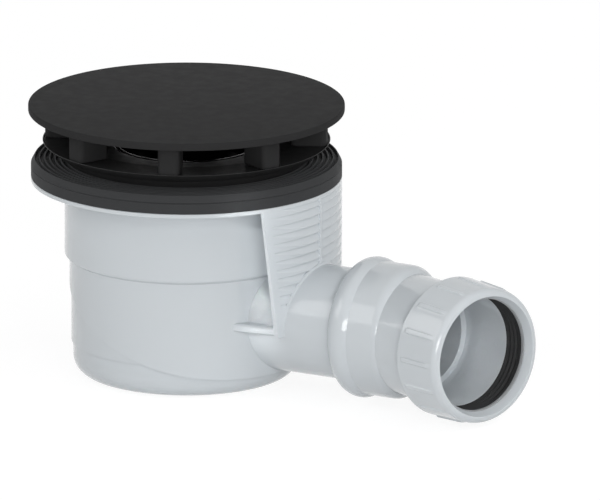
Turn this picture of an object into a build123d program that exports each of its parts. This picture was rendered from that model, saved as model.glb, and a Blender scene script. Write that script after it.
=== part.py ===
from build123d import *
from math import asin, cos, degrees, radians, sin, sqrt
import os

# Shower trap: a cover plate on legs over a drain dish, a removable dip tube in a water seal cup,
# and a swivelling angled outlet with a compression nut.
# Millimetres. Z is up, the base of the trap body stands on Z = 0 and the outlet leaves along +X.

# Clearances
thread_clearance = 0.3
push_fit_clearance = 0.3
seal_clearance = 0.05
seat_clearance = 0.3

# Trap body
body_floor = 2.4
base_rounding = 6.8
foot_height = 12.2
shoulder_height = 42.8
shoulder_slope = 1.2
shoulder_edge_round = 1.0
ledge_height = 45.1
flange_height = 72.4
flange_thickness = 1.5
flange_radius = 55.5
flange_edge = 0.3
cavity_bottom_radius = 38.4
cavity_corner = 5.2
cavity_draft = 0.8
ledge_width = 2.3
foot_wall = 2.0
ring_step = 0.7
curved_step = 0.65
thread_wall = 2.0
step_radius = 145.0
step_low_x = 48.0
step_low_height = 6.1

# Outlet stub, the web plate across it and the fluted skirt in front of the body
outlet_height = 26.3
stub_radius = 20.0
stub_wall = 2.0
stub_end = 86.5
flare_radius = 0.5
web_rise = 1.2
web_thickness = 3.0
web_edge_round = 0.9
web_wall_half_width = 24.8
skirt_drop = 2.4
skirt_wall = 1.2
skirt_top_half_width = 28.2
skirt_bottom_half_width = 22.5
centre_rib_width = 1.2
flute_count = 12
flute_pitch = 3.25
flute_depth = 1.2
flute_margin = 2.4
flute_lead = 1.1
flute_step = 0.4
flute_stop = 0.9

# Sealing rings between the body, the tray and the dish
lower_gasket_thickness = 3.9
ribbed_gasket_thickness = 2.7
gasket_clearance = 0.8
gasket_seam_chamfer = 0.25
gasket_side_land = 0.5
gasket_side_inset = 1.2
gasket_land = 1.3
gasket_rib_count = 5
gasket_rib_tip = 0.5
gasket_rib_draft = 0.15
gasket_rib_height = 1.3
gasket_outer_land = 0.3
seal_height = 3.1
seal_lip_width = 1.5
seal_spread = 4.0

# Dish with its threaded sleeve
dish_thickness = 3.0
dish_rim_radius = 51.5
dish_rim_width = 0.5
dish_rim_height = 0.5
dish_rim_slope = 0.2
dish_flat_radius = 37.5
dish_step_radius = 31.3
dish_step_drop = 0.7
throat_drop = 1.2
throat_radius = 26.4
throat_depth = 3.0
throat_ledge = 1.2
collar_wall = 3.2
collar_length = 3.9
sleeve_wall = 2.0

# Cover plate on legs
cover_radius = 56.5
cover_thickness = 2.7
cover_edge = 0.4
leg_count = 8
leg_height = 10.9
leg_width = 7.9
leg_corner = 1.9
leg_clearance = 0.2

# Dip tube and the flat seal under its rim
rim_width = 1.9
rim_seal_height = 1.2
neck_wall = 2.3
neck_overhang = 0.5
tube_taper_length = 10.5
tube_radius = 20.0
tube_wall = 1.8
tube_floor_gap = 10.2

# Water seal cup
cup_gap = 6.2
cup_wall = 1.8
cup_corner = 5.0
cup_floor_gap = 7.6
cup_rim_gap = 9.4
lug_count = 3
lug_first_angle = 60.0
lug_height = 4.0
lug_width = 6.0
lug_clearance = 0.5

# Angled outlet elbow
bend_angle = 19.2
bend_offset = 2.0
stub_stop_gap = 0.5
socket_depth = 16.9
socket_wall = 3.8
bead_round = 5.8
bead_height = 1.25
sleeve_overrun = 2.2
shoulder_round = 5.0
pipe_bore_radius = 20.2
pipe_wall = 1.4
pipe_stop = 11.3
pipe_depth = 21.8
socket_seal_length = 4.5
socket_seal_depth = 2.0

# Compression nut with its washer and sealing ring
ring_length = 8.1
ring_relief = 0.15
ring_groove_count = 3
ring_groove_pitch = 2.0
ring_groove_depth = 0.5
ring_groove_start = 1.6
washer_thickness = 1.1
washer_clearance = 0.1
nut_length = 19.8
nut_wall = 3.4
nut_taper = 0.7
nut_lip_round = 2.2
nut_throat_relief = 0.3
nut_throat_land = 0.4
nut_bevel_depth = 3.0
nut_bevel_width = 1.3
ridge_count = 15
ridge_width = 2.6
ridge_height = 0.5
ridge_back_margin = 2.2
ridge_front_margin = 0.2
ridge_end_slope = 0.8

os.makedirs("parts", exist_ok=True)

# Levels above the base, from the body's flange up to the cover
flange_underside = flange_height - flange_thickness
gasket_seam = flange_height + lower_gasket_thickness
gasket_top = gasket_seam + ribbed_gasket_thickness
dish_underside = gasket_top + seal_height
dish_floor = dish_underside + dish_thickness
throat_level = dish_floor - throat_drop
throat_ledge_level = throat_level - throat_depth
collar_bottom = throat_ledge_level - collar_length
cover_underside = dish_floor + leg_height

# Radii about the body's axis
foot_radius = cavity_bottom_radius + foot_wall
lower_wall_radius = foot_radius + ring_step
upper_wall_radius = lower_wall_radius + curved_step
cavity_top_radius = cavity_bottom_radius + cavity_draft
thread_bore_radius = cavity_top_radius + ledge_width
thread_wall_radius = thread_bore_radius + thread_wall
sleeve_radius = thread_bore_radius - thread_clearance
seal_inner_radius = sleeve_radius + seat_clearance
seal_top_radius = seal_inner_radius + seal_lip_width + seal_spread
gasket_hole_radius = sleeve_radius + gasket_clearance
throat_ledge_radius = throat_radius - throat_ledge

# Outlet axis, and the tilted axis that leaves it at the bend
stub_bore_radius = stub_radius - stub_wall
socket_end = stub_end + stub_stop_gap
bend_x = socket_end + bend_offset
tilt_x = cos(radians(bend_angle))
tilt_y = -sin(radians(bend_angle))
pipe_end = pipe_stop + pipe_depth
outlet_tube_radius = pipe_bore_radius + pipe_wall
nut_shoulder_depth = nut_bevel_depth + nut_throat_land
washer_front = nut_shoulder_depth + washer_clearance
ring_front = washer_front + washer_thickness
mouth_distance = pipe_end + ring_length + ring_front
mouth_centre = (bend_x + mouth_distance * tilt_x, mouth_distance * tilt_y, outlet_height)

outlet_axis = Axis((0, 0, outlet_height), (1, 0, 0))
outlet_plane = Plane(origin=(0, 0, outlet_height), x_dir=(1, 0, 0), z_dir=(0, -1, 0))
outlet_section = Plane(origin=(0, 0, outlet_height), x_dir=(0, 1, 0), z_dir=(1, 0, 0))
bend_section = Plane(origin=(bend_x, 0, outlet_height), x_dir=(0, 0, 1), z_dir=(tilt_x, tilt_y, 0))
nut_axis = Axis(mouth_centre, (tilt_x, tilt_y, 0))
nut_plane = Plane(origin=mouth_centre, x_dir=(tilt_x, tilt_y, 0), z_dir=(tilt_y, -tilt_x, 0))

# Flute cutter: stepped rings about an axis behind the skirt, so that each flute is deepest beside
# the centre rib and runs out towards the skirt's edges
skirt_bottom = outlet_height - skirt_drop
flute_half_width = skirt_top_half_width - flute_margin
flute_bottom_x = flange_radius - flute_depth
flute_edge_x = sqrt(flange_radius**2 - flute_half_width**2)
flute_axis_x = (flute_bottom_x**2 - flange_radius**2) / (2 * (flute_bottom_x - flute_edge_x))
flute_radius = flute_bottom_x - flute_axis_x
flute_start = asin(centre_rib_width / 2 / flute_radius)
flute_sweep = degrees(asin(skirt_top_half_width / flute_radius))
flute_plane = Plane(
    origin=(flute_axis_x, 0, 0),
    x_dir=(cos(flute_start), sin(flute_start), 0),
    z_dir=(sin(flute_start), -cos(flute_start), 0),
)
first_flute_level = flange_underside + flute_lead
last_flute_level = first_flute_level - flute_count * flute_pitch
flute_points = []
for flute in range(flute_count):
    flute_level = first_flute_level - flute * flute_pitch
    flute_points.append((flute_radius + flute_depth, flute_level))
    flute_points.append((flute_radius, flute_level - flute_step))

with BuildPart() as flutes:
    with BuildSketch(flute_plane):
        with BuildLine():
            Polyline(
                *flute_points,
                (flute_radius + flute_depth, last_flute_level),
                (flute_radius + 2 * flute_depth, last_flute_level),
                (flute_radius + 2 * flute_depth, first_flute_level),
                close=True,
            )
        make_face()
    revolve(axis=Axis((flute_axis_x, 0, 0), (0, 0, 1)), revolution_arc=flute_sweep)
    mirror(about=Plane.XZ)
    with BuildSketch(Plane.YZ):
        with BuildLine():
            Polyline(
                (-skirt_bottom_half_width + flute_margin, skirt_bottom),
                (skirt_bottom_half_width - flute_margin, skirt_bottom),
                (flute_half_width, first_flute_level),
                (-flute_half_width, first_flute_level),
                close=True,
            )
        make_face()
        with Locations((0, outlet_height)):
            Circle(stub_radius + flute_stop, mode=Mode.SUBTRACT)
    extrude(amount=stub_end, mode=Mode.INTERSECT)

# Skirt: a strip of cylinder round the stub, fluted and trimmed to a narrowing panel
skirt_start = outlet_height - stub_radius - 2 * flare_radius

with BuildPart() as skirt:
    with BuildSketch(Plane.XY.offset(skirt_start)):
        Circle(flange_radius)
    extrude(amount=flange_underside - skirt_start)
    with BuildSketch(outlet_section):
        Circle(stub_radius)
    extrude(amount=stub_end)
    plain_edges = skirt.edges().filter_by(GeomType.LINE) + skirt.edges().filter_by(GeomType.CIRCLE)
    fillet(skirt.edges() - plain_edges, flare_radius)
    with BuildSketch(Plane.XY.offset(skirt_start)):
        with Locations((flute_axis_x, 0)):
            Circle(flute_radius - skirt_wall)
    extrude(amount=flange_underside - skirt_start, mode=Mode.SUBTRACT)
    add(flutes.part, mode=Mode.SUBTRACT)
    with BuildSketch(Plane.YZ):
        with BuildLine():
            Polyline(
                (-skirt_bottom_half_width, skirt_bottom),
                (skirt_bottom_half_width, skirt_bottom),
                (skirt_top_half_width, flange_underside),
                (-skirt_top_half_width, flange_underside),
                close=True,
            )
        make_face()
    extrude(amount=flange_radius + 2 * flare_radius, mode=Mode.INTERSECT)

# Web: a flat plate across the stub from the body's wall to the skirt, with rounded side edges
web_underside = outlet_height + web_rise - web_thickness
web_wall_x = sqrt(upper_wall_radius**2 - web_wall_half_width**2)
web_root_x = web_wall_x - foot_wall
web_end_x = sqrt(flange_radius**2 - skirt_bottom_half_width**2)

with BuildPart() as web:
    with BuildSketch(Plane.XY.offset(web_underside)):
        with BuildLine():
            Polyline(
                (web_root_x, 0),
                (web_root_x, web_wall_half_width),
                (web_wall_x, web_wall_half_width),
                (web_end_x, skirt_bottom_half_width),
                (web_end_x, 0),
                close=True,
            )
        make_face()
        mirror(about=Plane.XZ)
    extrude(amount=web_thickness)
    side_faces = web.faces().filter_by(Axis.Z, reverse=True).filter_by(Axis.X, reverse=True)
    side_edges = side_faces.edges().filter_by(Axis.Z, reverse=True)
    fillet(side_edges, web_edge_round)

# Trap body
shoulder_edge_level = shoulder_height + shoulder_slope

with BuildPart() as trap_body:
    # Thicker upper wall, ending in a curved step that falls towards the outlet
    with BuildSketch():
        Circle(upper_wall_radius)
    extrude(amount=shoulder_height)
    with BuildSketch(Plane.XZ):
        with Locations((step_low_x, step_low_height + step_radius)):
            Circle(step_radius)
    extrude(amount=upper_wall_radius, both=True, mode=Mode.INTERSECT)
    # Outer wall from the rounded base up to the flange
    with BuildSketch(Plane.XZ) as wall_profile:
        with BuildLine():
            Line((0, 0), (foot_radius - base_rounding, 0))
            CenterArc((foot_radius - base_rounding, base_rounding), base_rounding, -90, 90)
            Polyline(
                (foot_radius, base_rounding),
                (foot_radius, foot_height),
                (lower_wall_radius, foot_height),
                (lower_wall_radius, shoulder_height),
                (upper_wall_radius, shoulder_height),
                (thread_wall_radius, shoulder_edge_level),
                (thread_wall_radius, flange_underside),
                (flange_radius, flange_underside),
                (flange_radius, flange_height - flange_edge),
                (flange_radius - flange_edge, flange_height),
                (0, flange_height),
                (0, 0),
            )
        make_face()
        wall_corners = wall_profile.vertices()
        shoulder_corner = wall_corners.sort_by_distance((thread_wall_radius, shoulder_edge_level))[0]
        fillet(shoulder_corner, shoulder_edge_round)
    revolve(axis=Axis.Z)
    # Outlet stub with its web and skirt
    with BuildSketch(outlet_section):
        Circle(stub_radius)
    extrude(amount=stub_end)
    add(web.part)
    add(skirt.part)
    # Cavity with the thread bore above a ledge, and the way out through the stub
    with BuildSketch(Plane.XZ):
        with BuildLine():
            Polyline(
                (0, body_floor),
                (cavity_bottom_radius - cavity_corner, body_floor),
                (cavity_bottom_radius, body_floor + cavity_corner),
                (cavity_top_radius, ledge_height),
                (thread_bore_radius, ledge_height),
                (thread_bore_radius, flange_height),
                (0, flange_height),
                close=True,
            )
        make_face()
    revolve(axis=Axis.Z, mode=Mode.SUBTRACT)
    with BuildSketch(outlet_section):
        Circle(stub_bore_radius)
    extrude(amount=stub_end, mode=Mode.SUBTRACT)
trap_body.part.label = "trap_body"
export_step(trap_body.part, "parts/trap_body.step")

# Lower gasket on the body's flange
with BuildPart() as lower_gasket:
    with BuildSketch(Plane.XY.offset(flange_height)):
        Circle(flange_radius)
        Circle(gasket_hole_radius, mode=Mode.SUBTRACT)
    extrude(amount=lower_gasket_thickness)
    seam_edges = lower_gasket.edges().group_by(Axis.Z)[-1]
    chamfer(seam_edges.sort_by(SortBy.RADIUS)[-1], gasket_seam_chamfer)
lower_gasket.part.label = "lower_gasket"
export_step(lower_gasket.part, "parts/lower_gasket.step")

# Ribbed gasket with thin rings on its top, which the tray presses on
first_groove_radius = gasket_hole_radius + gasket_land
gasket_rim_radius = flange_radius - gasket_side_inset
groove_span = gasket_rim_radius - gasket_outer_land - first_groove_radius
rib_pitch = (groove_span + gasket_rib_tip) / (gasket_rib_count + 1)
groove_floor = gasket_top - gasket_rib_height
groove_points = []
for groove in range(gasket_rib_count + 1):
    groove_start = first_groove_radius + groove * rib_pitch
    groove_end = groove_start + rib_pitch - gasket_rib_tip
    groove_points.append((groove_start, gasket_top))
    groove_points.append((groove_start + gasket_rib_draft, groove_floor))
    groove_points.append((groove_end - gasket_rib_draft, groove_floor))
    groove_points.append((groove_end, gasket_top))

with BuildPart() as ribbed_gasket:
    with BuildSketch(Plane.XZ):
        with BuildLine():
            Polyline(
                (gasket_hole_radius, gasket_seam),
                (gasket_hole_radius, gasket_top),
                *groove_points,
                (gasket_rim_radius, gasket_top),
                (flange_radius, gasket_seam + gasket_side_land),
                (flange_radius, gasket_seam + gasket_seam_chamfer),
                (flange_radius - gasket_seam_chamfer, gasket_seam),
                close=True,
            )
        make_face()
    revolve(axis=Axis.Z)
ribbed_gasket.part.label = "ribbed_gasket"
export_step(ribbed_gasket.part, "parts/ribbed_gasket.step")

# Conical seal under the dish
with BuildPart() as flange_seal:
    with BuildSketch(Plane.XZ):
        with BuildLine():
            Polyline(
                (seal_inner_radius, gasket_top),
                (seal_inner_radius + seal_lip_width, gasket_top),
                (seal_top_radius, dish_underside),
                (seal_inner_radius, dish_underside),
                close=True,
            )
        make_face()
    revolve(axis=Axis.Z)
flange_seal.part.label = "flange_seal"
export_step(flange_seal.part, "parts/flange_seal.step")

# Waste flange: the dish that drains into the throat, on the sleeve that screws into the body
lug_top = ledge_height + lug_height
sleeve_bottom = lug_top + seat_clearance
dish_flat_end = dish_rim_radius - dish_rim_width - dish_rim_slope

with BuildPart() as waste_flange:
    with BuildSketch(Plane.XZ):
        with BuildLine():
            Polyline(
                (throat_ledge_radius, collar_bottom),
                (throat_ledge_radius, throat_ledge_level),
                (throat_radius, throat_ledge_level),
                (throat_radius, throat_level),
                (dish_step_radius, dish_floor - dish_step_drop),
                (dish_flat_radius, dish_floor),
                (dish_flat_end, dish_floor),
                (dish_flat_end + dish_rim_slope, dish_floor + dish_rim_height),
                (dish_rim_radius, dish_floor + dish_rim_height),
                (seal_top_radius, dish_underside),
                (sleeve_radius, dish_underside),
                (sleeve_radius, sleeve_bottom),
                (sleeve_radius - sleeve_wall, sleeve_bottom),
                (sleeve_radius - sleeve_wall, dish_underside),
                (throat_ledge_radius + collar_wall, dish_underside),
                (throat_ledge_radius + collar_wall, collar_bottom),
                close=True,
            )
        make_face()
    revolve(axis=Axis.Z)
waste_flange.part.label = "waste_flange"
export_step(waste_flange.part, "parts/waste_flange.step")

# Cover plate with its ring of legs, standing on the flat part of the dish
leg_inner_radius = dish_flat_radius + leg_clearance
leg_outer_radius = dish_flat_end - leg_clearance
leg_length = leg_outer_radius - leg_inner_radius

with BuildPart() as cover:
    with BuildSketch(Plane.XY.offset(cover_underside)):
        Circle(cover_radius)
    extrude(amount=cover_thickness)
    chamfer(cover.edges().sort_by(Axis.Z)[-1], cover_edge)
    with BuildSketch(Plane.XY.offset(dish_floor)):
        with PolarLocations(leg_inner_radius + leg_length / 2, leg_count, 180 / leg_count):
            RectangleRounded(leg_length, leg_width, leg_corner)
    extrude(amount=leg_height)
cover.part.label = "cover"
export_step(cover.part, "parts/cover.step")

# Flat seal on the throat's ledge, under the dip tube's rim
with BuildPart() as dip_tube_seal:
    with BuildSketch(Plane.XY.offset(throat_ledge_level)):
        Circle(throat_radius - seal_clearance)
        Circle(throat_ledge_radius + seal_clearance, mode=Mode.SUBTRACT)
    extrude(amount=rim_seal_height)
dip_tube_seal.part.label = "dip_tube_seal"
export_step(dip_tube_seal.part, "parts/dip_tube_seal.step")

# Dip tube, hung by its rim in the throat of the dish
rim_radius = throat_radius - seat_clearance
rim_underside = throat_ledge_level + rim_seal_height
neck_radius = throat_ledge_radius - seat_clearance
neck_bottom = collar_bottom - neck_overhang
taper_bottom = neck_bottom - tube_taper_length
cup_bottom = body_floor + cup_floor_gap
tube_bottom = cup_bottom + cup_wall + tube_floor_gap

with BuildPart() as dip_tube:
    with BuildSketch(Plane.XZ):
        with BuildLine():
            Polyline(
                (rim_radius - rim_width, throat_level),
                (rim_radius, throat_level),
                (rim_radius, rim_underside),
                (neck_radius, rim_underside),
                (neck_radius, neck_bottom),
                (tube_radius, taper_bottom),
                (tube_radius, tube_bottom),
                (tube_radius - tube_wall, tube_bottom),
                (tube_radius - tube_wall, taper_bottom),
                (neck_radius - neck_wall, neck_bottom),
                close=True,
            )
        make_face()
    revolve(axis=Axis.Z)
dip_tube.part.label = "dip_tube"
export_step(dip_tube.part, "parts/dip_tube.step")

# Water seal cup, standing by its lugs on the body's ledge under the sleeve
cup_radius = cavity_top_radius - cup_gap
cup_rim = dish_underside - cup_rim_gap
lug_start = cup_radius - cup_wall
lug_length = thread_bore_radius - lug_clearance - lug_start

with BuildPart() as trap_cup:
    with BuildSketch(Plane.XZ):
        with BuildLine():
            Polyline(
                (0, cup_bottom),
                (cup_radius - cup_corner, cup_bottom),
                (cup_radius, cup_bottom + cup_corner),
                (cup_radius, cup_rim),
                (0, cup_rim),
                close=True,
            )
        make_face()
    revolve(axis=Axis.Z)
    with BuildSketch(Plane.XY.offset(ledge_height)):
        with PolarLocations(lug_start + lug_length / 2, lug_count, lug_first_angle):
            Rectangle(lug_length, lug_width)
    extrude(amount=lug_height)
    with BuildSketch(Plane.XZ):
        with BuildLine():
            Polyline(
                (0, cup_bottom + cup_wall),
                (cup_radius - cup_corner, cup_bottom + cup_wall),
                (cup_radius - cup_wall, cup_bottom + cup_corner),
                (cup_radius - cup_wall, cup_rim),
                (0, cup_rim),
                close=True,
            )
        make_face()
    revolve(axis=Axis.Z, mode=Mode.SUBTRACT)
trap_cup.part.label = "trap_cup"
export_step(trap_cup.part, "parts/trap_cup.step")

# Outlet elbow: push-fit socket with a rounded bead, and a tilted tube for the waste pipe
socket_radius = stub_radius + push_fit_clearance
elbow_radius = socket_radius + socket_wall
elbow_mouth_x = socket_end - socket_depth
elbow_sleeve_end = socket_end + sleeve_overrun
bead_x = elbow_mouth_x + bead_round
bead_centre_radius = elbow_radius + bead_height - bead_round
bead_end_angle = degrees(asin((bead_round - bead_height) / bead_round))
bead_end_x = bead_x + bead_round * cos(radians(bead_end_angle))
seal_start_x = bead_x - socket_seal_length / 2
tube_overlap = outlet_tube_radius * sin(radians(bend_angle))

with BuildPart() as outlet_elbow:
    with BuildSketch(outlet_plane):
        with BuildLine():
            CenterArc((bead_x, bead_centre_radius), bead_round, 180, bead_end_angle - 180)
            Line((bead_end_x, elbow_radius), (elbow_sleeve_end, elbow_radius))
            CenterArc((elbow_sleeve_end, elbow_radius - shoulder_round), shoulder_round, 90, -90)
            Polyline(
                (elbow_sleeve_end + shoulder_round, elbow_radius - shoulder_round),
                (elbow_sleeve_end + shoulder_round, 0),
                (elbow_mouth_x, 0),
                (elbow_mouth_x, bead_centre_radius),
            )
        make_face()
    revolve(axis=outlet_axis)
    with BuildSketch(bend_section.offset(-tube_overlap)):
        Circle(outlet_tube_radius)
    extrude(amount=tube_overlap + pipe_end)
    # Push-fit socket with the groove for its sealing ring
    with BuildSketch(outlet_section.offset(elbow_mouth_x)):
        Circle(socket_radius)
    extrude(amount=socket_depth, mode=Mode.SUBTRACT)
    with BuildSketch(outlet_section.offset(seal_start_x)):
        Circle(socket_radius + socket_seal_depth)
    extrude(amount=socket_seal_length, mode=Mode.SUBTRACT)
    # Passage round the bend, and the socket that the waste pipe slides into
    with BuildSketch(outlet_section.offset(socket_end)):
        Circle(stub_bore_radius)
    extrude(amount=2 * bend_offset, mode=Mode.SUBTRACT)
    with BuildSketch(bend_section.offset(-bend_offset)):
        Circle(stub_bore_radius)
    extrude(amount=bend_offset + pipe_stop, mode=Mode.SUBTRACT)
    with BuildSketch(bend_section.offset(pipe_stop)):
        Circle(pipe_bore_radius)
    extrude(amount=pipe_depth, mode=Mode.SUBTRACT)
outlet_elbow.part.label = "outlet_elbow"
export_step(outlet_elbow.part, "parts/outlet_elbow.step")

# Sealing ring inside the push-fit socket
with BuildPart() as socket_seal:
    with BuildSketch(outlet_section.offset(seal_start_x)):
        Circle(socket_radius + socket_seal_depth)
        Circle(stub_radius + seal_clearance, mode=Mode.SUBTRACT)
    extrude(amount=socket_seal_length)
socket_seal.part.label = "socket_seal"
export_step(socket_seal.part, "parts/socket_seal.step")

# Compression ring between the elbow's tube and the washer, with fine grooves inside
ring_back = ring_front + ring_length
ring_bore_radius = pipe_bore_radius + ring_relief
groove_points = []
for groove in range(ring_groove_count):
    groove_front = ring_front + ring_groove_start + groove * ring_groove_pitch
    groove_points.append((-groove_front, ring_bore_radius))
    groove_points.append((-groove_front - ring_groove_pitch / 2, ring_bore_radius + ring_groove_depth))

with BuildPart() as compression_ring:
    with BuildSketch(nut_plane):
        with BuildLine():
            Polyline(
                (-ring_back, outlet_tube_radius),
                (-ring_front, outlet_tube_radius),
                (-ring_front, ring_bore_radius),
                *groove_points,
                (-groove_front - ring_groove_pitch, ring_bore_radius),
                (-ring_back, ring_bore_radius),
                close=True,
            )
        make_face()
    revolve(axis=nut_axis)
compression_ring.part.label = "compression_ring"
export_step(compression_ring.part, "parts/compression_ring.step")

# Slip washer between the compression ring and the nut
with BuildPart() as slip_washer:
    with BuildSketch(bend_section.offset(pipe_end + ring_length)):
        Circle(outlet_tube_radius)
        Circle(ring_bore_radius, mode=Mode.SUBTRACT)
    extrude(amount=washer_thickness)
slip_washer.part.label = "slip_washer"
export_step(slip_washer.part, "parts/slip_washer.step")

# Compression nut with axial grip ridges
nut_thread_radius = outlet_tube_radius + thread_clearance
nut_back_radius = nut_thread_radius + nut_wall
nut_front_radius = nut_back_radius - nut_taper
nut_throat_radius = ring_bore_radius + nut_throat_relief
nut_slope = nut_taper / (nut_length - nut_lip_round)
ridge_front = nut_lip_round + ridge_front_margin
ridge_back = nut_length - ridge_back_margin
ridge_back_radius = nut_back_radius - nut_slope * ridge_back_margin
ridge_front_radius = nut_front_radius + nut_slope * ridge_front_margin
ridge_sweep = degrees(ridge_width / nut_back_radius)

with BuildPart() as compression_nut:
    with BuildSketch(nut_plane):
        with BuildLine():
            Polyline(
                (-nut_lip_round, nut_front_radius),
                (-nut_length, nut_back_radius),
                (-nut_length, nut_thread_radius),
                (-nut_shoulder_depth, nut_thread_radius),
                (-nut_shoulder_depth, nut_throat_radius),
                (-nut_bevel_depth, nut_throat_radius),
                (0, nut_throat_radius + nut_bevel_width),
                (0, nut_front_radius - nut_lip_round),
            )
            CenterArc((-nut_lip_round, nut_front_radius - nut_lip_round), nut_lip_round, 0, 90)
        make_face()
    revolve(axis=nut_axis)
    for ridge in range(ridge_count):
        ridge_angle = radians(90 + ridge * 360 / ridge_count - ridge_sweep / 2)
        ridge_normal = (tilt_y * cos(ridge_angle), -tilt_x * cos(ridge_angle), -sin(ridge_angle))
        with BuildSketch(Plane(origin=mouth_centre, x_dir=(tilt_x, tilt_y, 0), z_dir=ridge_normal)):
            with BuildLine():
                Polyline(
                    (-ridge_back, ridge_back_radius - ridge_height),
                    (-ridge_back, ridge_back_radius),
                    (-ridge_back + ridge_end_slope, ridge_back_radius + ridge_height),
                    (-ridge_front - ridge_end_slope, ridge_front_radius + ridge_height),
                    (-ridge_front, ridge_front_radius),
                    (-ridge_front, ridge_front_radius - ridge_height),
                    close=True,
                )
            make_face()
        revolve(axis=nut_axis, revolution_arc=ridge_sweep)
compression_nut.part.label = "compression_nut"
export_step(compression_nut.part, "parts/compression_nut.step")
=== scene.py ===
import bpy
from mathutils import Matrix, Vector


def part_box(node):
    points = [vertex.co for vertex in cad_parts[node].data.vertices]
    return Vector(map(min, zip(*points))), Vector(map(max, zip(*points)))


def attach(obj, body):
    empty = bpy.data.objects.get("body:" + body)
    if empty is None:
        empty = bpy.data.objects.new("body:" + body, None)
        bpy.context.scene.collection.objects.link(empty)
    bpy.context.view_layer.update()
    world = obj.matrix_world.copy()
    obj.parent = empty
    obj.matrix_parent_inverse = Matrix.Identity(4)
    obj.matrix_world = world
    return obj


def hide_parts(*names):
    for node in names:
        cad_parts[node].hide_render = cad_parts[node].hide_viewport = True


bl_info = {
    "name": "Shower Trap",
    "version": (1, 0, 0),
    "blender": (4, 5, 0),
    "location": "View3D > Sidebar > Shower Trap",
    "description": "Dresses the packed shower trap in its finishes, with rounded pieces and a plain stage",
    "category": "Object",
}

import math
from typing import NamedTuple

import bmesh
import bpy
from bpy.props import FloatProperty, FloatVectorProperty, IntProperty, PointerProperty
from mathutils import Matrix, Vector

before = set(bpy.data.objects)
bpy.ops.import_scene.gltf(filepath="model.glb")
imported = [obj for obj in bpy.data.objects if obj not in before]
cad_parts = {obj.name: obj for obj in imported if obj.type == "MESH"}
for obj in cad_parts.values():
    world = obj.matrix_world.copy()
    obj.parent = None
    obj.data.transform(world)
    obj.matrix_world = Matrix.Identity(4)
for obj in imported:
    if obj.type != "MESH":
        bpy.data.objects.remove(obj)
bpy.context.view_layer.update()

MM = 0.001

# Levels above the base of the pieces that are turned again here, as the solids have them
DISH_UNDERSIDE = 82.1 * MM
DISH_FLOOR = 85.1 * MM
THROAT_LEVEL = 83.9 * MM
THROAT_LEDGE = 80.9 * MM
COLLAR_BOTTOM = 77.0 * MM
SLEEVE_BOTTOM = 49.4 * MM
GASKET_SEAM = 76.3 * MM
GASKET_TOP = 79.0 * MM

# Compression nut: its place, its radii and its depths behind the mouth, as the solid has them
NUT_MOUTH = Vector((132.252, -15.062, 26.3)) * MM
NUT_AXIS = Vector((0.944376, -0.328867, 0.0))
NUT_LENGTH = 19.8 * MM
NUT_BACK_RADIUS = 25.3 * MM
NUT_FRONT_RADIUS = 24.6 * MM
NUT_THREAD_RADIUS = 21.9 * MM
NUT_THROAT_RADIUS = 20.65 * MM
NUT_BEVEL_WIDTH = 1.3 * MM
NUT_BEVEL_DEPTH = 3.0 * MM
NUT_SHOULDER_DEPTH = 3.4 * MM

# Fineness of the meshes
RING_SEGMENTS = 160
COVER_SEGMENTS = 192
SHARP_ANGLE = math.radians(38.0)
HAIR = 0.001 * MM

# Stretch of a noise's values in which a colour or a roughness goes from its low to its high end
COLOUR_START = 0.32
COLOUR_END = 0.68
ROUGHNESS_START = 0.3
ROUGHNESS_END = 0.7
NOISE_ROUGHNESS = 0.55
WHITE = (1.0, 1.0, 1.0, 1.0)

# Camera: the photograph's size, and the place in it of the middle of the flange's top
PHOTO_WIDTH_PX = 600
PHOTO_HEIGHT_PX = 500
FLANGE_CENTRE_PX = Vector((186.5, 174.35))
FLANGE_TOP = 72.4 * MM


class Lamp(NamedTuple):
    """A soft rectangular lamp, in metres, with its spread in degrees where it is narrow."""

    place: tuple
    size: tuple
    power: str
    aim: tuple = (0.03, 0.0, 0.045)
    mirrored: bool = False
    spread: float = None


LAMPS = {
    "key_light": Lamp((1.12, -1.87, 0.47), (1.1, 0.6), "key_power", mirrored=True),
    "side_key_light": Lamp((1.56, -1.28, 0.975), (0.8, 0.5), "side_key_power"),
    "left_light": Lamp((-0.445, -0.399, 0.432), (0.7, 0.35), "left_power", mirrored=True),
    "pocket_light": Lamp(
        (0.082, -0.472, 0.258), (0.006, 0.050), "pocket_power", aim=(0.0425, -0.0205, 0.047), spread=2.2),
    "socket_light": Lamp(
        (0.412, -0.414, 0.139), (0.02, 0.02), "socket_power", aim=tuple(NUT_MOUTH), spread=3.5),
    "right_light": Lamp((0.86, 0.12, 0.86), (0.9, 0.6), "right_power"),
    "top_light": Lamp((0.05, 0.00, 1.10), (0.8, 0.8), "top_power"),
    "back_light": Lamp((-0.51, 0.95, 0.40), (0.9, 0.6), "back_power"),
}


# Settings

class TrapWhitePlastic(bpy.types.PropertyGroup):
    """Finish of the white moulded plastic."""

    colour: FloatVectorProperty(
        name="Colour", description="Main colour of the moulded plastic",
        subtype="COLOR", default=(0.600, 0.637, 0.664), min=0.0, max=1.0)
    tint: FloatVectorProperty(
        name="Tint", description="Colour of the faint clouds in the plastic",
        subtype="COLOR", default=(0.607, 0.643, 0.669), min=0.0, max=1.0)
    roughness: FloatProperty(
        name="Roughness", description="Middle roughness of the surface",
        subtype="FACTOR", default=0.11, min=0.0, max=1.0)
    ripple: FloatProperty(
        name="Ripple", description="Depth of the soft moulding ripple",
        unit="LENGTH", default=0.000012, min=0.0, precision=6)


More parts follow.
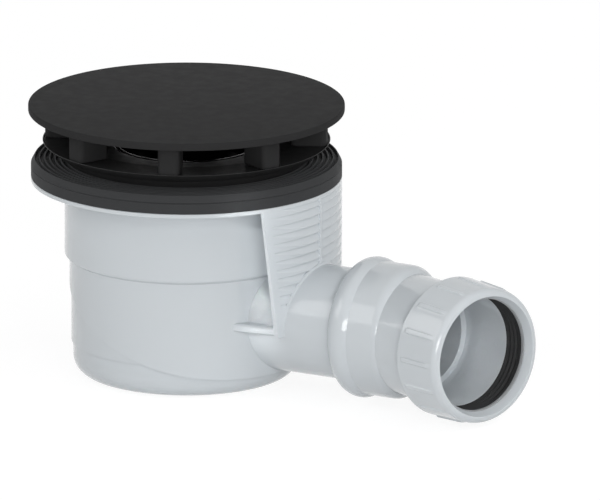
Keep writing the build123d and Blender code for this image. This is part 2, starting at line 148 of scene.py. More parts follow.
class TrapBlackFinishes(bpy.types.PropertyGroup):
    """Finishes of the cover, the dish and the dip tube."""

    cover_colour: FloatVectorProperty(
        name="Cover", description="Colour of the matt cover",
        subtype="COLOR", default=(0.0280, 0.0280, 0.0284), min=0.0, max=1.0)
    cover_roughness: FloatProperty(
        name="Cover roughness", description="Middle roughness of the matt cover",
        subtype="FACTOR", default=0.72, min=0.0, max=1.0)
    cover_grain: FloatProperty(
        name="Cover grain", description="Depth of the cover's fine grain",
        unit="LENGTH", default=0.00002, min=0.0, precision=6)
    # The dish's own black plastic, made darker still to paint the shade that the cover casts over the
    # dish.
    dish_colour_and_shade: FloatVectorProperty(
        name="Dish", description="Colour of the dish",
        subtype="COLOR", default=(0.0180, 0.0181, 0.0184), min=0.0, max=1.0)
    dish_roughness: FloatProperty(
        name="Dish roughness", description="Middle roughness of the dish",
        subtype="FACTOR", default=0.48, min=0.0, max=1.0)
    tube_colour: FloatVectorProperty(
        name="Dip tube", description="Colour of the dip tube",
        subtype="COLOR", default=(0.0030, 0.0030, 0.0031), min=0.0, max=1.0)
    tube_roughness: FloatProperty(
        name="Dip tube roughness", description="Middle roughness of the dip tube",
        subtype="FACTOR", default=0.16, min=0.0, max=1.0)


class TrapRubberFinishes(bpy.types.PropertyGroup):
    """Finishes of the gaskets, seals and washer."""

    gasket_colour: FloatVectorProperty(
        name="Gaskets", description="Colour of the two wide gaskets",
        subtype="COLOR", default=(0.0420, 0.0432, 0.0450), min=0.0, max=1.0)
    seal_colour: FloatVectorProperty(
        name="Seals", description="Colour of the black seals",
        subtype="COLOR", default=(0.0350, 0.0354, 0.0360), min=0.0, max=1.0)
    cone_colour: FloatVectorProperty(
        name="Conical seal", description="Colour of the conical seal under the dish",
        subtype="COLOR", default=(0.0320, 0.0322, 0.0328), min=0.0, max=1.0)
    roughness: FloatProperty(
        name="Roughness", description="Middle roughness of the rubber",
        subtype="FACTOR", default=0.62, min=0.0, max=1.0)
    washer_colour: FloatVectorProperty(
        name="Washer", description="Colour of the slip washer",
        subtype="COLOR", default=(0.34, 0.35, 0.36), min=0.0, max=1.0)


class TrapCoverSizes(bpy.types.PropertyGroup):
    """Sizes and roundings of the cover and its legs."""

    thickness: FloatProperty(
        name="Thickness", description="Thickness of the cover plate",
        unit="LENGTH", default=2.7 * MM, precision=5)
    edge: FloatProperty(
        name="Edge rounding", description="Rounding of the plate's rim",
        unit="LENGTH", default=0.5 * MM, precision=5)
    leg_count: IntProperty(
        name="Legs", description="Number of legs in the ring", default=8, min=3)
    leg_inner: FloatProperty(
        name="Leg inner radius", description="Radius at the inner end of the legs",
        unit="LENGTH", default=37.7 * MM, precision=5)
    leg_outer: FloatProperty(
        name="Leg outer radius", description="Radius at the outer end of the legs",
        unit="LENGTH", default=50.6 * MM, precision=5)
    leg_width: FloatProperty(
        name="Leg width", description="Width of each leg",
        unit="LENGTH", default=7.9 * MM, precision=5)
    leg_corner: FloatProperty(
        name="Leg corner", description="Rounding of the legs' upright corners",
        unit="LENGTH", default=1.9 * MM, precision=5)
    leg_foot: FloatProperty(
        name="Leg foot", description="Rounding of the legs' lower edges",
        unit="LENGTH", default=0.7 * MM, precision=5)


class TrapNutSizes(bpy.types.PropertyGroup):
    """Roundings and grip ridges of the compression nut."""

    ridge_count: IntProperty(
        name="Ridges", description="Number of grip ridges", default=15, min=3)
    ridge_width: FloatProperty(
        name="Ridge width", description="Width of each grip ridge",
        unit="LENGTH", default=1.7 * MM, precision=5)
    ridge_height: FloatProperty(
        name="Ridge height", description="Height of each grip ridge",
        unit="LENGTH", default=0.5 * MM, precision=5)
    ridge_back: FloatProperty(
        name="Ridge back", description="Distance of the ridges' back ends behind the mouth",
        unit="LENGTH", default=17.6 * MM, precision=5)
    ridge_front: FloatProperty(
        name="Ridge front", description="Distance of the ridges' front ends behind the mouth",
        unit="LENGTH", default=2.4 * MM, precision=5)
    ridge_run_out: FloatProperty(
        name="Ridge run-out", description="Length over which the ridges fade into the lip",
        unit="LENGTH", default=3.2 * MM, precision=5)
    lip: FloatProperty(
        name="Lip rounding", description="Rounding of the nut's lip",
        unit="LENGTH", default=2.6 * MM, precision=5)
    edge: FloatProperty(
        name="Edge rounding", description="Rounding of the edges at the nut's back",
        unit="LENGTH", default=0.4 * MM, precision=5)


class TrapRingSizes(bpy.types.PropertyGroup):
    """Roundings of the ribbed gasket, the dish and the dip tube."""

    rib_tip: FloatProperty(
        name="Rib tip", description="Rounding of the gasket's ribs",
        unit="LENGTH", default=0.14 * MM, precision=5)
    gasket_edge: FloatProperty(
        name="Gasket edge", description="Rounding of the ribbed gasket's outer edge",
        unit="LENGTH", default=0.45 * MM, precision=5)
    dish_edge: FloatProperty(
        name="Dish edge", description="Rounding of the dish's rim",
        unit="LENGTH", default=0.18 * MM, precision=5)
    tube_edge: FloatProperty(
        name="Dip tube edge", description="Rounding of the dip tube's inner rim",
        unit="LENGTH", default=0.55 * MM, precision=5)


class TrapStage(bpy.types.PropertyGroup):
    """Camera, floor and light."""

    azimuth: FloatProperty(
        name="Azimuth", description="Turn of the camera round the trap",
        subtype="ANGLE", default=math.radians(30.0))
    elevation: FloatProperty(
        name="Elevation", description="Height of the camera above the horizon",
        subtype="ANGLE", default=math.radians(15.0))
    view_width: FloatProperty(
        name="View width", description="Width that the camera sees",
        unit="LENGTH", default=0.213980, precision=5)
    floor_colour: FloatVectorProperty(
        name="Floor", description="Colour of the floor",
        subtype="COLOR", default=(0.86, 0.86, 0.86), min=0.0, max=1.0)
    world_strength: FloatProperty(
        name="Sky light", description="Strength of the even light from all sides",
        default=0.10, min=0.0)
    key_power: FloatProperty(
        name="Key light", description="Power of the wide soft light beside the camera",
        unit="POWER", default=18.3)
    side_key_power: FloatProperty(
        name="Side key light", description="Power of the soft light between the key and the right light",
        unit="POWER", default=7.2)
    left_power: FloatProperty(
        name="Left light", description="Power of the soft light on the left",
        unit="POWER", default=1.45)
    right_power: FloatProperty(
        name="Right light", description="Power of the soft light on the right",
        unit="POWER", default=4.2)
    pocket_power: FloatProperty(
        name="Pocket light", description="Power of the narrow light on the pocket beside the skirt",
        unit="POWER", default=0.0009, precision=5)
    socket_power: FloatProperty(
        name="Socket light", description="Power of the narrow light into the pipe socket",
        unit="POWER", default=0.0004, precision=5)
    top_power: FloatProperty(
        name="Top light", description="Power of the soft light above",
        unit="POWER", default=1.4)
    back_power: FloatProperty(
        name="Back light", description="Power of the soft light behind",
        unit="POWER", default=2.4)


# Node materials

def new_material(name):
    """A node material, with its nodes, its links, its shader and the coordinates for its noises."""
    material = bpy.data.materials.new(name)
    material.use_nodes = True
    nodes = material.node_tree.nodes
    links = material.node_tree.links
    shader = nodes["Principled BSDF"]
    coordinates = nodes.new("ShaderNodeTexCoord")
    return material, nodes, links, shader, coordinates


def noise(nodes, links, coordinates, scale, detail):
    """Value of a noise in the object's own space, with its scale in waves per metre."""
    texture = nodes.new("ShaderNodeTexNoise")
    texture.inputs["Scale"].default_value = scale
    texture.inputs["Detail"].default_value = detail
    texture.inputs["Roughness"].default_value = NOISE_ROUGHNESS
    links.new(coordinates.outputs["Object"], texture.inputs["Vector"])
    return texture.outputs["Fac"]


def colour_between(nodes, links, shader, factor, low, high):
    """Colour that goes from low to high with a noise's value."""
    ramp = nodes.new("ShaderNodeValToRGB")
    ramp.color_ramp.elements[0].position = COLOUR_START
    ramp.color_ramp.elements[0].color = (*low, 1.0)
    ramp.color_ramp.elements[1].position = COLOUR_END
    ramp.color_ramp.elements[1].color = (*high, 1.0)
    links.new(factor, ramp.inputs["Fac"])
    links.new(ramp.outputs["Color"], shader.inputs["Base Color"])


def roughness_between(nodes, links, shader, factor, low, high):
    """Roughness that goes from low to high with a noise's value."""
    spread = nodes.new("ShaderNodeMapRange")
    spread.inputs["From Min"].default_value = ROUGHNESS_START
    spread.inputs["From Max"].default_value = ROUGHNESS_END
    spread.inputs["To Min"].default_value = low
    spread.inputs["To Max"].default_value = high
    links.new(factor, spread.inputs["Value"])
    links.new(spread.outputs["Result"], shader.inputs["Roughness"])


def bump(nodes, links, shader, height, depth):
    """Bump of a given depth from a noise's value."""
    relief = nodes.new("ShaderNodeBump")
    relief.inputs["Strength"].default_value = 1.0
    relief.inputs["Distance"].default_value = depth
    links.new(height, relief.inputs["Height"])
    links.new(relief.outputs["Normal"], shader.inputs["Normal"])


def shaded(colour, share):
    """A colour made darker or lighter by a share."""
    return tuple(min(1.0, channel * share) for channel in colour)


def moulded_plastic(name, colour, tint, roughness, ripple):
    """Semi-gloss plastic with faint clouds and a soft moulding ripple."""
    uneven = 0.02
    material, nodes, links, shader, coordinates = new_material(name)
    clouds = noise(nodes, links, coordinates, scale=25.0, detail=2.0)
    colour_between(nodes, links, shader, clouds, colour, tint)
    sheen = noise(nodes, links, coordinates, scale=90.0, detail=2.0)
    roughness_between(nodes, links, shader, sheen, roughness - uneven, roughness + uneven)
    waves = noise(nodes, links, coordinates, scale=110.0, detail=1.0)
    bump(nodes, links, shader, waves, ripple)
    shader.inputs["IOR"].default_value = 1.5
    shader.inputs["Subsurface Weight"].default_value = 0.2
    shader.inputs["Subsurface Radius"].default_value = (1.0, 1.0, 1.0)
    shader.inputs["Subsurface Scale"].default_value = 0.002
    return material


def white_plastic(name, plastic):
    """The white plastic of the body, the elbow and the nut, from its settings."""
    return moulded_plastic(name, plastic.colour, plastic.tint, plastic.roughness, plastic.ripple)


def grained_black(name, colour, roughness, gloss, depth, grain_scale):
    """Black plastic with a fine grain and a slightly uneven sheen."""
    darkest = 0.985
    lightest = 1.015
    uneven = 0.05
    material, nodes, links, shader, coordinates = new_material(name)
    clouds = noise(nodes, links, coordinates, scale=60.0, detail=3.0)
    colour_between(nodes, links, shader, clouds, shaded(colour, darkest), shaded(colour, lightest))
    sheen = noise(nodes, links, coordinates, scale=240.0, detail=3.0)
    roughness_between(nodes, links, shader, sheen, roughness - uneven, roughness + uneven)
    grain = noise(nodes, links, coordinates, scale=grain_scale, detail=2.0)
    bump(nodes, links, shader, grain, depth)
    shader.inputs["Specular IOR Level"].default_value = gloss
    return material


def satin_black(name, black, gloss):
    """The dish's satin plastic, with the gloss of its floor or its rim."""
    # The dish colour is partly the black plastic's own colour and partly painted shade from the cover
    # above it.
    return grained_black(
        name, black.dish_colour_and_shade, black.dish_roughness, gloss, depth=0.00003, grain_scale=1500.0)


def glossy_black(name, black, gloss):
    """The dip tube's smooth plastic, with the gloss of its wall or its rim."""
    return grained_black(
        name, black.tube_colour, black.tube_roughness, gloss, depth=0.00001, grain_scale=400.0)


def soft_rubber(name, colour, roughness):
    """Matt rubber with a dusty bloom and a fine grain."""
    darkest = 0.95
    lightest = 1.05
    smoother = 0.06
    rougher = 0.08
    grain_depth = 0.00002
    material, nodes, links, shader, coordinates = new_material(name)
    bloom = noise(nodes, links, coordinates, scale=130.0, detail=4.0)
    colour_between(nodes, links, shader, bloom, shaded(colour, darkest), shaded(colour, lightest))
    roughness_between(nodes, links, shader, bloom, roughness - smoother, roughness + rougher)
    grain = noise(nodes, links, coordinates, scale=1800.0, detail=2.0)
    bump(nodes, links, shader, grain, grain_depth)
    shader.inputs["Specular IOR Level"].default_value = 0.1
    return material


def finish_node(node, material):
    """Gives a solid of the frame its finish."""
    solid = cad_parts[node]
    solid.data.materials.clear()
    solid.data.materials.append(material)


# Mesh making

def smooth_step(share):
    """A soft step from 0 to 1."""
    share = max(0.0, min(1.0, share))
    return share * share * (3 - 2 * share)


def rounded_outline(corners, steps, closed=True):
    """Points of an outline whose corners are (x, y, rounding)."""
    most_of_side = 0.45
    points = []
    count = len(corners)
    for index, (x, y, radius) in enumerate(corners):
        corner = Vector((x, y))
        open_end = not closed and index in (0, count - 1)
        if radius <= 0.0 or open_end:
            points.append(corner)
            continue
        before = Vector(corners[index - 1][:2]) - corner
        after = Vector(corners[(index + 1) % count][:2]) - corner
        half = before.angle(after) / 2
        reach = min(
            radius / math.tan(half), most_of_side * before.length, most_of_side * after.length)
        radius = reach * math.tan(half)
        middle = (before.normalized() + after.normalized()).normalized()
        centre = corner + middle * (radius / math.sin(half))
        start = corner + before.normalized() * reach - centre
        end = corner + after.normalized() * reach - centre
        sweep = start.angle_signed(end)
        for step in range(steps + 1):
            points.append(centre + Matrix.Rotation(-sweep * step / steps, 2) @ start)
    return points


def bridge_rings(mesh, lower, upper):
    """Closes the band between two rings of points, where a ring of one point is a pole."""
    count = max(len(lower), len(upper))
    for index in range(count):
        following = (index + 1) % count
        if len(lower) == 1:
            mesh.faces.new((lower[0], upper[following], upper[index]))
        elif len(upper) == 1:
            mesh.faces.new((lower[index], lower[following], upper[0]))
        else:
            mesh.faces.new((lower[index], lower[following], upper[following], upper[index]))


def finished_mesh(name, mesh):
    """Mesh data with outward faces from a bmesh, which is freed."""
    bmesh.ops.recalc_face_normals(mesh, faces=mesh.faces)
    data = bpy.data.meshes.new(name)
    mesh.to_mesh(data)
    mesh.free()
    return data


def turned_mesh(name, outline, segments, closed=True):
    """A mesh made by turning an outline of (radius, height) points about Z."""
    mesh = bmesh.new()
    rings = []
    for radius, height in outline:
        if radius < HAIR:
            rings.append([mesh.verts.new((0.0, 0.0, height))])
            continue
        ring = []
        for segment in range(segments):
            angle = 2 * math.pi * segment / segments
            ring.append(mesh.verts.new((radius * math.cos(angle), radius * math.sin(angle), height)))
        rings.append(ring)
    pairs = list(zip(rings, rings[1:]))
    if closed:
        pairs.append((rings[-1], rings[0]))
    for lower, upper in pairs:
        bridge_rings(mesh, lower, upper)
    return finished_mesh(name, mesh)


def joined_solids(name, main, others):
    """One closed mesh from a main mesh and others that stand into it."""
    target = bpy.data.objects.new(name, main)
    bpy.context.scene.collection.objects.link(target)
    tools = []
    for other in others:
        tool = bpy.data.objects.new(name + "_tool", other)
        bpy.context.scene.collection.objects.link(tool)
        modifier = target.modifiers.new("join", "BOOLEAN")
        modifier.operation = "UNION"
        modifier.solver = "EXACT"
        modifier.object = tool
        tools.append(tool)
    bpy.context.view_layer.update()
    graph = bpy.context.evaluated_depsgraph_get()
    result = bpy.data.meshes.new_from_object(target.evaluated_get(graph))
    for used in [target, *tools]:
        bpy.data.objects.remove(used)
    result.name = name
    return result


def new_piece(name, data, body, node, material):
    """Puts a mesh in the scene as a piece that stands for a solid and rides on its body."""
    piece = bpy.data.objects.new(name, data)
    bpy.context.scene.collection.objects.link(piece)
    data.materials.clear()
    data.materials.append(material)
    data.shade_smooth()
    data.set_sharp_from_angle(angle=SHARP_ANGLE)
    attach(piece, body)
    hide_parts(node)
    return piece


def polish_rim(piece, level, material):
    """Gives the faces of a turned piece above a level a finish of their own."""
    piece.data.materials.append(material)
    for face in piece.data.polygons:
        if face.center.z > level:
            face.material_index = 1


# Forms of the pieces

def ribbed_gasket_outline(sizes):
    """Half section of the gasket, with grooves in its top that leave fine ribs between them."""
    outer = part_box("ribbed_gasket")[1].x
    hole = 42.0 * MM
    hole_edge = 0.2 * MM
    first_groove = 43.3 * MM
    groove_count = 6
    groove_floor = GASKET_TOP - 1.3 * MM
    rib_width = 0.5 * MM
    rib_draft = 0.15 * MM
    rim = outer - 1.2 * MM
    rim_land = 0.3 * MM
    side_land = 0.5 * MM
    seam_chamfer = 0.25 * MM
    pitch = (rim - rim_land - first_groove + rib_width) / groove_count
    corners = [(hole, GASKET_SEAM, 0.0), (hole, GASKET_TOP, hole_edge)]
    for groove in range(groove_count):
        inner = first_groove + groove * pitch
        beyond = inner + pitch - rib_width
        corners += [
            (inner, GASKET_TOP, sizes.rib_tip), (inner + rib_draft, groove_floor, sizes.rib_tip),
            (beyond - rib_draft, groove_floor, sizes.rib_tip), (beyond, GASKET_TOP, sizes.rib_tip),
        ]
    corners += [
        (rim, GASKET_TOP, sizes.rib_tip), (outer, GASKET_SEAM + side_land, sizes.gasket_edge),
        (outer, GASKET_SEAM + seam_chamfer, 0.0), (outer - seam_chamfer, GASKET_SEAM, 0.0),
    ]
    return rounded_outline(corners, steps=4)


def dish_outline(sizes):
    """Half section of the dish: its throat with a ledge, sloped floor, rim, sleeve and collar."""
    ledge = 25.2 * MM
    throat = 26.4 * MM
    slope_start = 31.3 * MM
    slope_drop = 0.7 * MM
    slope_end = 37.5 * MM
    floor_edge = 50.8 * MM
    rim_inner = 51.0 * MM
    rim_outer = 51.5 * MM
    rim_level = DISH_FLOOR + 0.5 * MM
    cone_foot = 47.0 * MM
    sleeve_outer = 41.2 * MM
    sleeve_inner = 39.2 * MM
    collar = 28.4 * MM
    collar_edge = 0.15 * MM
    soft_edge = 0.3 * MM
    slope_low_edge = 0.4 * MM
    slope_high_edge = 0.6 * MM
    rim_root = 0.1 * MM
    corners = [
        (ledge, COLLAR_BOTTOM, collar_edge), (ledge, THROAT_LEDGE, 0.0),
        (throat, THROAT_LEDGE, 0.0), (throat, THROAT_LEVEL, soft_edge),
        (slope_start, DISH_FLOOR - slope_drop, slope_low_edge), (slope_end, DISH_FLOOR, slope_high_edge),
        (floor_edge, DISH_FLOOR, rim_root), (rim_inner, rim_level, sizes.dish_edge),
        (rim_outer, rim_level, sizes.dish_edge), (cone_foot, DISH_UNDERSIDE, soft_edge),
        (sleeve_outer, DISH_UNDERSIDE, 0.0), (sleeve_outer, SLEEVE_BOTTOM, soft_edge),
        (sleeve_inner, SLEEVE_BOTTOM, soft_edge), (sleeve_inner, DISH_UNDERSIDE, soft_edge),
        (collar, DISH_UNDERSIDE, soft_edge), (collar, COLLAR_BOTTOM, collar_edge),
    ]
    return rounded_outline(corners, steps=4)


def dip_tube_outline(sizes):
    """Half section of the dip tube: its rim, the neck in the throat, a taper and the plain tube."""
    rim_inner = 24.2 * MM
    rim_outer = 26.1 * MM
    rim_underside = 82.1 * MM
    neck_outer = 24.9 * MM
    neck_inner = 22.6 * MM
    neck_bottom = 76.5 * MM
    taper_bottom = 66.0 * MM
    tube_outer = 20.0 * MM
    tube_inner = 18.2 * MM
    tube_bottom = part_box("dip_tube")[0].z
    rim_edge = 0.25 * MM
    seat_edge = 0.15 * MM
    neck_edge = 0.6 * MM
    taper_edge = 2.0 * MM
    end_edge = 0.5 * MM
    corners = [
        (rim_inner, THROAT_LEVEL, sizes.tube_edge), (rim_outer, THROAT_LEVEL, rim_edge),
        (rim_outer, rim_underside, seat_edge), (neck_outer, rim_underside, seat_edge),
        (neck_outer, neck_bottom, neck_edge), (tube_outer, taper_bottom, taper_edge),
        (tube_outer, tube_bottom, end_edge), (tube_inner, tube_bottom, end_edge),
        (tube_inner, taper_bottom, taper_edge), (neck_inner, neck_bottom, neck_edge),
    ]
    return rounded_outline(corners, steps=6)


def leg_mesh(name, length, width, corner, foot, height, place):
    """An upright leg with rounded corners and a rounded foot."""
    foot_steps = 5
    mesh = bmesh.new()
    levels = []
    for step in range(foot_steps + 1):
        angle = math.pi / 2 * step / foot_steps
        levels.append((foot * (1 - math.sin(angle)), foot * (1 - math.cos(angle))))
    levels.append((0.0, height))
    rings = []
    for inset, level in levels:
        x = length / 2 - inset
        y = width / 2 - inset
        rounding = corner - inset
        outline = rounded_outline(
            [(x, y, rounding), (-x, y, rounding), (-x, -y, rounding), (x, -y, rounding)], steps=6)
        rings.append([mesh.verts.new(place @ Vector((*point, level))) for point in outline])
    for lower, upper in zip(rings, rings[1:]):
        bridge_rings(mesh, lower, upper)
    mesh.faces.new(rings[0])
    mesh.faces.new(rings[-1])
    return finished_mesh(name, mesh)


def cover_mesh(name, sizes):
    """The cover's plate on its ring of legs, which stand a little way into it."""
    stand_in = 0.5 * MM
    low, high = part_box("cover")
    radius = high.x
    underside = high.z - sizes.thickness
    corners = [
        (0.0, high.z, 0.0), (radius, high.z, sizes.edge),
        (radius, underside, sizes.edge), (0.0, underside, 0.0),
    ]
    outline = rounded_outline(corners, steps=5, closed=False)
    plate = turned_mesh("cover_plate", outline, COVER_SEGMENTS, closed=False)
    length = sizes.leg_outer - sizes.leg_inner
    height = underside - low.z + stand_in
    legs = []
    for leg in range(sizes.leg_count):
        angle = 2 * math.pi * (leg + 0.5) / sizes.leg_count
        place = Matrix.Rotation(angle, 4, "Z") @ Matrix.Translation(
            (sizes.leg_inner + length / 2, 0.0, low.z))
        legs.append(leg_mesh(
            "leg", length, sizes.leg_width, sizes.leg_corner, sizes.leg_foot, height, place))
    return joined_solids(name, plate, legs)


def nut_outline(sizes):
    """Half section of the nut as (radius, place along its axis), with many points on the outer wall."""
    lip_steps = 10
    wall_steps = 60
    mouth_edge = 0.3 * MM
    throat_edge = 0.2 * MM
    corners = [
        (NUT_THREAD_RADIUS, -NUT_LENGTH, sizes.edge), (NUT_BACK_RADIUS, -NUT_LENGTH, sizes.edge),
    ]
    for step in range(lip_steps + 1):
        angle = math.pi / 2 * step / lip_steps
        lip_radius = NUT_FRONT_RADIUS - sizes.lip * (1 - math.cos(angle))
        corners.append((lip_radius, -sizes.lip * (1 - math.sin(angle)), 0.0))
    corners += [
        (NUT_THROAT_RADIUS + NUT_BEVEL_WIDTH, 0.0, mouth_edge),
        (NUT_THROAT_RADIUS, -NUT_BEVEL_DEPTH, throat_edge),
        (NUT_THROAT_RADIUS, -NUT_SHOULDER_DEPTH, 0.0),
        (NUT_THREAD_RADIUS, -NUT_SHOULDER_DEPTH, 0.0),
    ]
    outline = rounded_outline(corners, steps=6)
    wall_start = max(range(len(outline)), key=lambda index: outline[index].x)
    first = outline[wall_start]
    last = Vector((NUT_FRONT_RADIUS, -sizes.lip))
    wall = [first + (last - first) * step / wall_steps for step in range(1, wall_steps)]
    return outline[:wall_start + 1] + wall + outline[wall_start + 1:]


def ridge_offsets(half, soft, half_pitch):
    """Places round the nut from gap to gap across one ridge, close together on its soft flanks."""
    top_share = 0.45
    gap_steps = 6
    foot = half + soft
    offsets = [0.0, top_share * half]
    offsets += [half + share * soft for share in (-1.0, -0.5, 0.0, 0.5, 1.0)]
    offsets += [foot + (half_pitch - half - soft) * step / gap_steps for step in range(1, gap_steps)]
    return sorted({-offset for offset in offsets} | set(offsets)) + [half_pitch]


def ridge_rise(sizes, radius, along):
    """Height of the ridges at a point of the nut's section, which fades at both ends of the outer wall."""
    back_slope = 0.6 * MM
    outer_wall = radius > NUT_FRONT_RADIUS - HAIR and along < -sizes.lip + HAIR
    if not outer_wall:
        return 0.0
    back_end = smooth_step((sizes.ridge_back + along) / back_slope)
    front_end = smooth_step((-along - sizes.ridge_front) / sizes.ridge_run_out)
    return sizes.ridge_height * min(back_end, front_end)


def nut_mesh(name, sizes):
    """The nut with its grip ridges, in its place on the elbow."""
    soft = 0.2 * MM
    half = sizes.ridge_width / 2
    pitch = 2 * math.pi / sizes.ridge_count
    around = ridge_offsets(half, soft, pitch * NUT_BACK_RADIUS / 2)
    mesh = bmesh.new()
    rings = []
    for radius, along in nut_outline(sizes):
        rise = ridge_rise(sizes, radius, along)
        ring = []
        for ridge in range(sizes.ridge_count):
            for offset in around:
                angle = ridge * pitch + offset / NUT_BACK_RADIUS
                side = smooth_step((half + soft - abs(offset)) / (2 * soft))
                far = radius + rise * side
                ring.append(mesh.verts.new((far * math.cos(angle), far * math.sin(angle), along)))
        rings.append(ring)
    for lower, upper in zip(rings, rings[1:] + rings[:1]):
        bridge_rings(mesh, lower, upper)
    across = Vector((NUT_AXIS.y, -NUT_AXIS.x, 0.0))
    upright = NUT_AXIS.cross(across)
    place = Matrix((across, upright, NUT_AXIS)).transposed().to_4x4()
    place.translation = NUT_MOUTH
    bmesh.ops.transform(mesh, matrix=place, verts=mesh.verts)
    return finished_mesh(name, mesh)


# Stage

def seen_directly(nodes, links):
    """One for rays from the camera, reflections and clear pieces, zero for light."""
    path = nodes.new("ShaderNodeLightPath")
    first = nodes.new("ShaderNodeMath")
    first.operation = "MAXIMUM"
    links.new(path.outputs["Is Camera Ray"], first.inputs[0])
    links.new(path.outputs["Is Glossy Ray"], first.inputs[1])
    second = nodes.new("ShaderNodeMath")
    second.operation = "MAXIMUM"
    links.new(first.outputs["Value"], second.inputs[0])
    links.new(path.outputs["Is Transmission Ray"], second.inputs[1])
    return second.outputs["Value"]


def set_world(scene, strength):
    """Even white light, which the camera and reflections see as a white backdrop."""
    world = bpy.data.worlds.new("studio")
    scene.world = world
    world.use_nodes = True
    nodes = world.node_tree.nodes
    links = world.node_tree.links
    light = nodes["Background"]
    light.inputs["Color"].default_value = WHITE
    light.inputs["Strength"].default_value = strength
    backdrop = nodes.new("ShaderNodeBackground")
    backdrop.inputs["Color"].default_value = WHITE
    backdrop.inputs["Strength"].default_value = 1.0
    mix = nodes.new("ShaderNodeMixShader")
    links.new(seen_directly(nodes, links), mix.inputs["Fac"])
    links.new(light.outputs["Background"], mix.inputs[1])
    links.new(backdrop.outputs["Background"], mix.inputs[2])
    links.new(mix.outputs["Shader"], nodes["World Output"].inputs["Surface"])


def pale_floor(colour):
    """A matt floor that glows for the camera, so that it fades into the backdrop but keeps a shadow."""
    darkest = 0.99
    glow_strength = 1.14
    glow_share = 0.78
    material, nodes, links, shader, coordinates = new_material("pale floor")
    shader.inputs["Roughness"].default_value = 0.9
    shader.inputs["Specular IOR Level"].default_value = 0.0
    clouds = noise(nodes, links, coordinates, scale=6.0, detail=2.0)
    colour_between(nodes, links, shader, clouds, shaded(colour, darkest), colour)
    glow = nodes.new("ShaderNodeEmission")
    glow.inputs["Color"].default_value = WHITE
    glow.inputs["Strength"].default_value = glow_strength
    mix = nodes.new("ShaderNodeMixShader")
    share = nodes.new("ShaderNodeMath")
    share.operation = "MULTIPLY"
    share.inputs[1].default_value = glow_share
    links.new(seen_directly(nodes, links), share.inputs[0])
    links.new(share.outputs["Value"], mix.inputs["Fac"])
    links.new(shader.outputs["BSDF"], mix.inputs[1])
    links.new(glow.outputs["Emission"], mix.inputs[2])
    links.new(mix.outputs["Shader"], nodes["Material Output"].inputs["Surface"])
    return material


def set_floor(colour):
    """A wide pale floor, a hair below the trap's base."""
    half_width = 6.0
    drop = 0.0002
    mesh = bmesh.new()
    bmesh.ops.create_grid(mesh, x_segments=8, y_segments=8, size=half_width)
    data = bpy.data.meshes.new("floor")
    mesh.to_mesh(data)
    mesh.free()
    floor = bpy.data.objects.new("floor", data)
    floor.location.z = -drop
    bpy.context.scene.collection.objects.link(floor)
    data.materials.append(pale_floor(colour))


def add_softbox(name, lamp, power):
    """Sets up a lamp that faces its aim, and shows in reflections only where mirrored."""
    light = bpy.data.lights.new(name, "AREA")
    light.shape = "RECTANGLE"
    light.size, light.size_y = lamp.size
    light.energy = power
    if lamp.spread is not None:
        light.spread = math.radians(lamp.spread)
    holder = bpy.data.objects.new(name, light)
    holder.location = lamp.place
    holder.visible_glossy = lamp.mirrored
    facing = Vector(lamp.aim) - Vector(lamp.place)
    holder.rotation_euler = facing.to_track_quat("-Z", "Y").to_euler()
    bpy.context.scene.collection.objects.link(holder)


def set_camera(scene, stage):
    """The camera at the photograph's angle, without perspective."""
    distance = 1.2
    turn = stage.azimuth
    rise = stage.elevation
    back = Vector((
        math.sin(turn) * math.cos(rise), -math.cos(turn) * math.cos(rise), math.sin(rise)))
    right = Vector((math.cos(turn), math.sin(turn), 0.0))
    up = back.cross(right)
    px_per_m = PHOTO_WIDTH_PX / stage.view_width
    centre = Vector((0.0, 0.0, FLANGE_TOP))
    centre = centre + right * ((PHOTO_WIDTH_PX / 2 - FLANGE_CENTRE_PX.x) / px_per_m)
    centre = centre - up * ((PHOTO_HEIGHT_PX / 2 - FLANGE_CENTRE_PX.y) / px_per_m)
    data = bpy.data.cameras.new("camera")
    data.type = "ORTHO"
    data.ortho_scale = stage.view_width
    data.clip_start = 0.01
    data.clip_end = 20.0
    camera = bpy.data.objects.new("camera", data)
    camera.location = centre + back * distance
    camera.rotation_euler = back.to_track_quat("Z", "Y").to_euler()
    scene.collection.objects.link(camera)
    scene.camera = camera


# Operators

class TRAP_OT_body(bpy.types.Operator):
    """Finishes the trap body, its cup and the outlet elbow in white plastic"""

    bl_idname = "trap.body"
    bl_label = "Body and elbow"

    def execute(self, context):
        white = white_plastic("moulded white plastic", context.scene.trap_white)
        for node in ("trap_body", "trap_cup", "outlet_elbow"):
            finish_node(node, white)
        return {"FINISHED"}


class TRAP_OT_gaskets(bpy.types.Operator):
    """Finishes the gaskets, seals and washer, and turns the ribbed gasket with rounded ribs"""

    bl_idname = "trap.gaskets"
    bl_label = "Gaskets and seals"

    def execute(self, context):
        rubber = context.scene.trap_rubber
        sizes = context.scene.trap_rings
        grey = soft_rubber("grey gasket rubber", rubber.gasket_colour, rubber.roughness)
        black = soft_rubber("black seal rubber", rubber.seal_colour, rubber.roughness)
        finish_node("lower_gasket", grey)
        cone = soft_rubber("conical seal rubber", rubber.cone_colour, rubber.roughness)
        finish_node("flange_seal", cone)
        for node in ("dip_tube_seal", "socket_seal", "compression_ring"):
            finish_node(node, black)
        washer_tint = shaded(rubber.washer_colour, 1.05)
        washer = moulded_plastic(
            "grey washer plastic", rubber.washer_colour, washer_tint, roughness=0.5, ripple=0.00001)
        finish_node("slip_washer", washer)
        data = turned_mesh("ribbed_gasket_rings", ribbed_gasket_outline(sizes), RING_SEGMENTS)
        new_piece("ribbed_gasket_rings", data, "trap", "ribbed_gasket", grey)
        return {"FINISHED"}


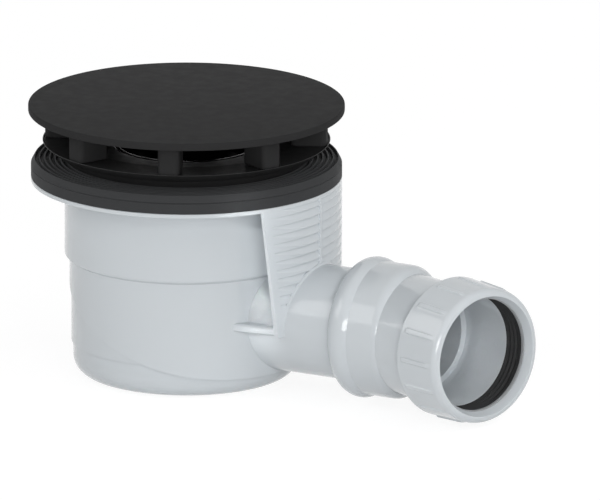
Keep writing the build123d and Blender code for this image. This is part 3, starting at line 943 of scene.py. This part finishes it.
class TRAP_OT_dish(bpy.types.Operator):
    """Turns the drain dish and the dip tube with rounded, polished rims"""

    bl_idname = "trap.dish"
    bl_label = "Dish and dip tube"

    def execute(self, context):
        black = context.scene.trap_black
        sizes = context.scene.trap_rings
        satin = satin_black("satin black plastic", black, gloss=0.06)
        satin_rim = satin_black("satin black rim", black, gloss=0.5)
        glossy = glossy_black("glossy black plastic", black, gloss=0.03)
        glossy_rim = glossy_black("glossy black rim", black, gloss=1.0)
        dish_rim_start = DISH_FLOOR + 0.3 * MM
        tube_rim_start = THROAT_LEVEL - 0.5 * MM
        data = turned_mesh("drain_dish", dish_outline(sizes), RING_SEGMENTS)
        dish = new_piece("drain_dish", data, "trap", "waste_flange", satin)
        polish_rim(dish, dish_rim_start, satin_rim)
        data = turned_mesh("dip_tube_turned", dip_tube_outline(sizes), RING_SEGMENTS)
        tube = new_piece("dip_tube_turned", data, "trap", "dip_tube", glossy)
        polish_rim(tube, tube_rim_start, glossy_rim)
        return {"FINISHED"}


class TRAP_OT_cover(bpy.types.Operator):
    """Makes the matt cover plate with its ring of rounded legs"""

    bl_idname = "trap.cover"
    bl_label = "Cover"

    def execute(self, context):
        black = context.scene.trap_black
        matt = grained_black(
            "matt black cover", black.cover_colour, black.cover_roughness,
            gloss=0.04, depth=black.cover_grain, grain_scale=2600.0)
        data = cover_mesh("cover_on_legs", context.scene.trap_cover)
        new_piece("cover_on_legs", data, "trap", "cover", matt)
        return {"FINISHED"}


class TRAP_OT_nut(bpy.types.Operator):
    """Makes the compression nut with soft-edged grip ridges"""

    bl_idname = "trap.nut"
    bl_label = "Compression nut"

    def execute(self, context):
        white = white_plastic("moulded white nut plastic", context.scene.trap_white)
        data = nut_mesh("ridged_nut", context.scene.trap_nut)
        new_piece("ridged_nut", data, "nut", "compression_nut", white)
        return {"FINISHED"}


class TRAP_OT_stage(bpy.types.Operator):
    """Sets the floor, the soft light and the camera"""

    bl_idname = "trap.stage"
    bl_label = "Stage"

    def execute(self, context):
        stage = context.scene.trap_stage
        context.scene.view_settings.view_transform = "Standard"
        set_world(context.scene, stage.world_strength)
        set_floor(stage.floor_colour)
        for name, lamp in LAMPS.items():
            add_softbox(name, lamp, getattr(stage, lamp.power))
        set_camera(context.scene, stage)
        return {"FINISHED"}


class TRAP_PT_panel(bpy.types.Panel):
    """Lists the steps that dress the shower trap"""

    bl_label = "Shower Trap"
    bl_idname = "TRAP_PT_panel"
    bl_space_type = "VIEW_3D"
    bl_region_type = "UI"
    bl_category = "Shower Trap"

    def draw(self, context):
        for operator in OPERATORS:
            self.layout.operator(operator.bl_idname)
        for name in SETTINGS:
            settings = getattr(context.scene, name)
            box = self.layout.box()
            box.label(text=settings.__doc__ or name)
            for key in settings.__annotations__:
                box.prop(settings, key)


SETTINGS = {
    "trap_white": TrapWhitePlastic,
    "trap_black": TrapBlackFinishes,
    "trap_rubber": TrapRubberFinishes,
    "trap_cover": TrapCoverSizes,
    "trap_nut": TrapNutSizes,
    "trap_rings": TrapRingSizes,
    "trap_stage": TrapStage,
}
OPERATORS = (TRAP_OT_body, TRAP_OT_gaskets, TRAP_OT_dish, TRAP_OT_cover, TRAP_OT_nut, TRAP_OT_stage)
CLASSES = (*SETTINGS.values(), *OPERATORS, TRAP_PT_panel)


def register():
    for entry in CLASSES:
        bpy.utils.register_class(entry)
    for name, group in SETTINGS.items():
        setattr(bpy.types.Scene, name, PointerProperty(type=group))


def unregister():
    for name in SETTINGS:
        delattr(bpy.types.Scene, name)
    for entry in reversed(CLASSES):
        bpy.utils.unregister_class(entry)


def main():
    register()
    bpy.ops.trap.body()
    bpy.ops.trap.gaskets()
    bpy.ops.trap.dish()
    bpy.ops.trap.cover()
    bpy.ops.trap.nut()
    bpy.ops.trap.stage()
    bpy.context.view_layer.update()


if __name__ == "__main__":
    main()
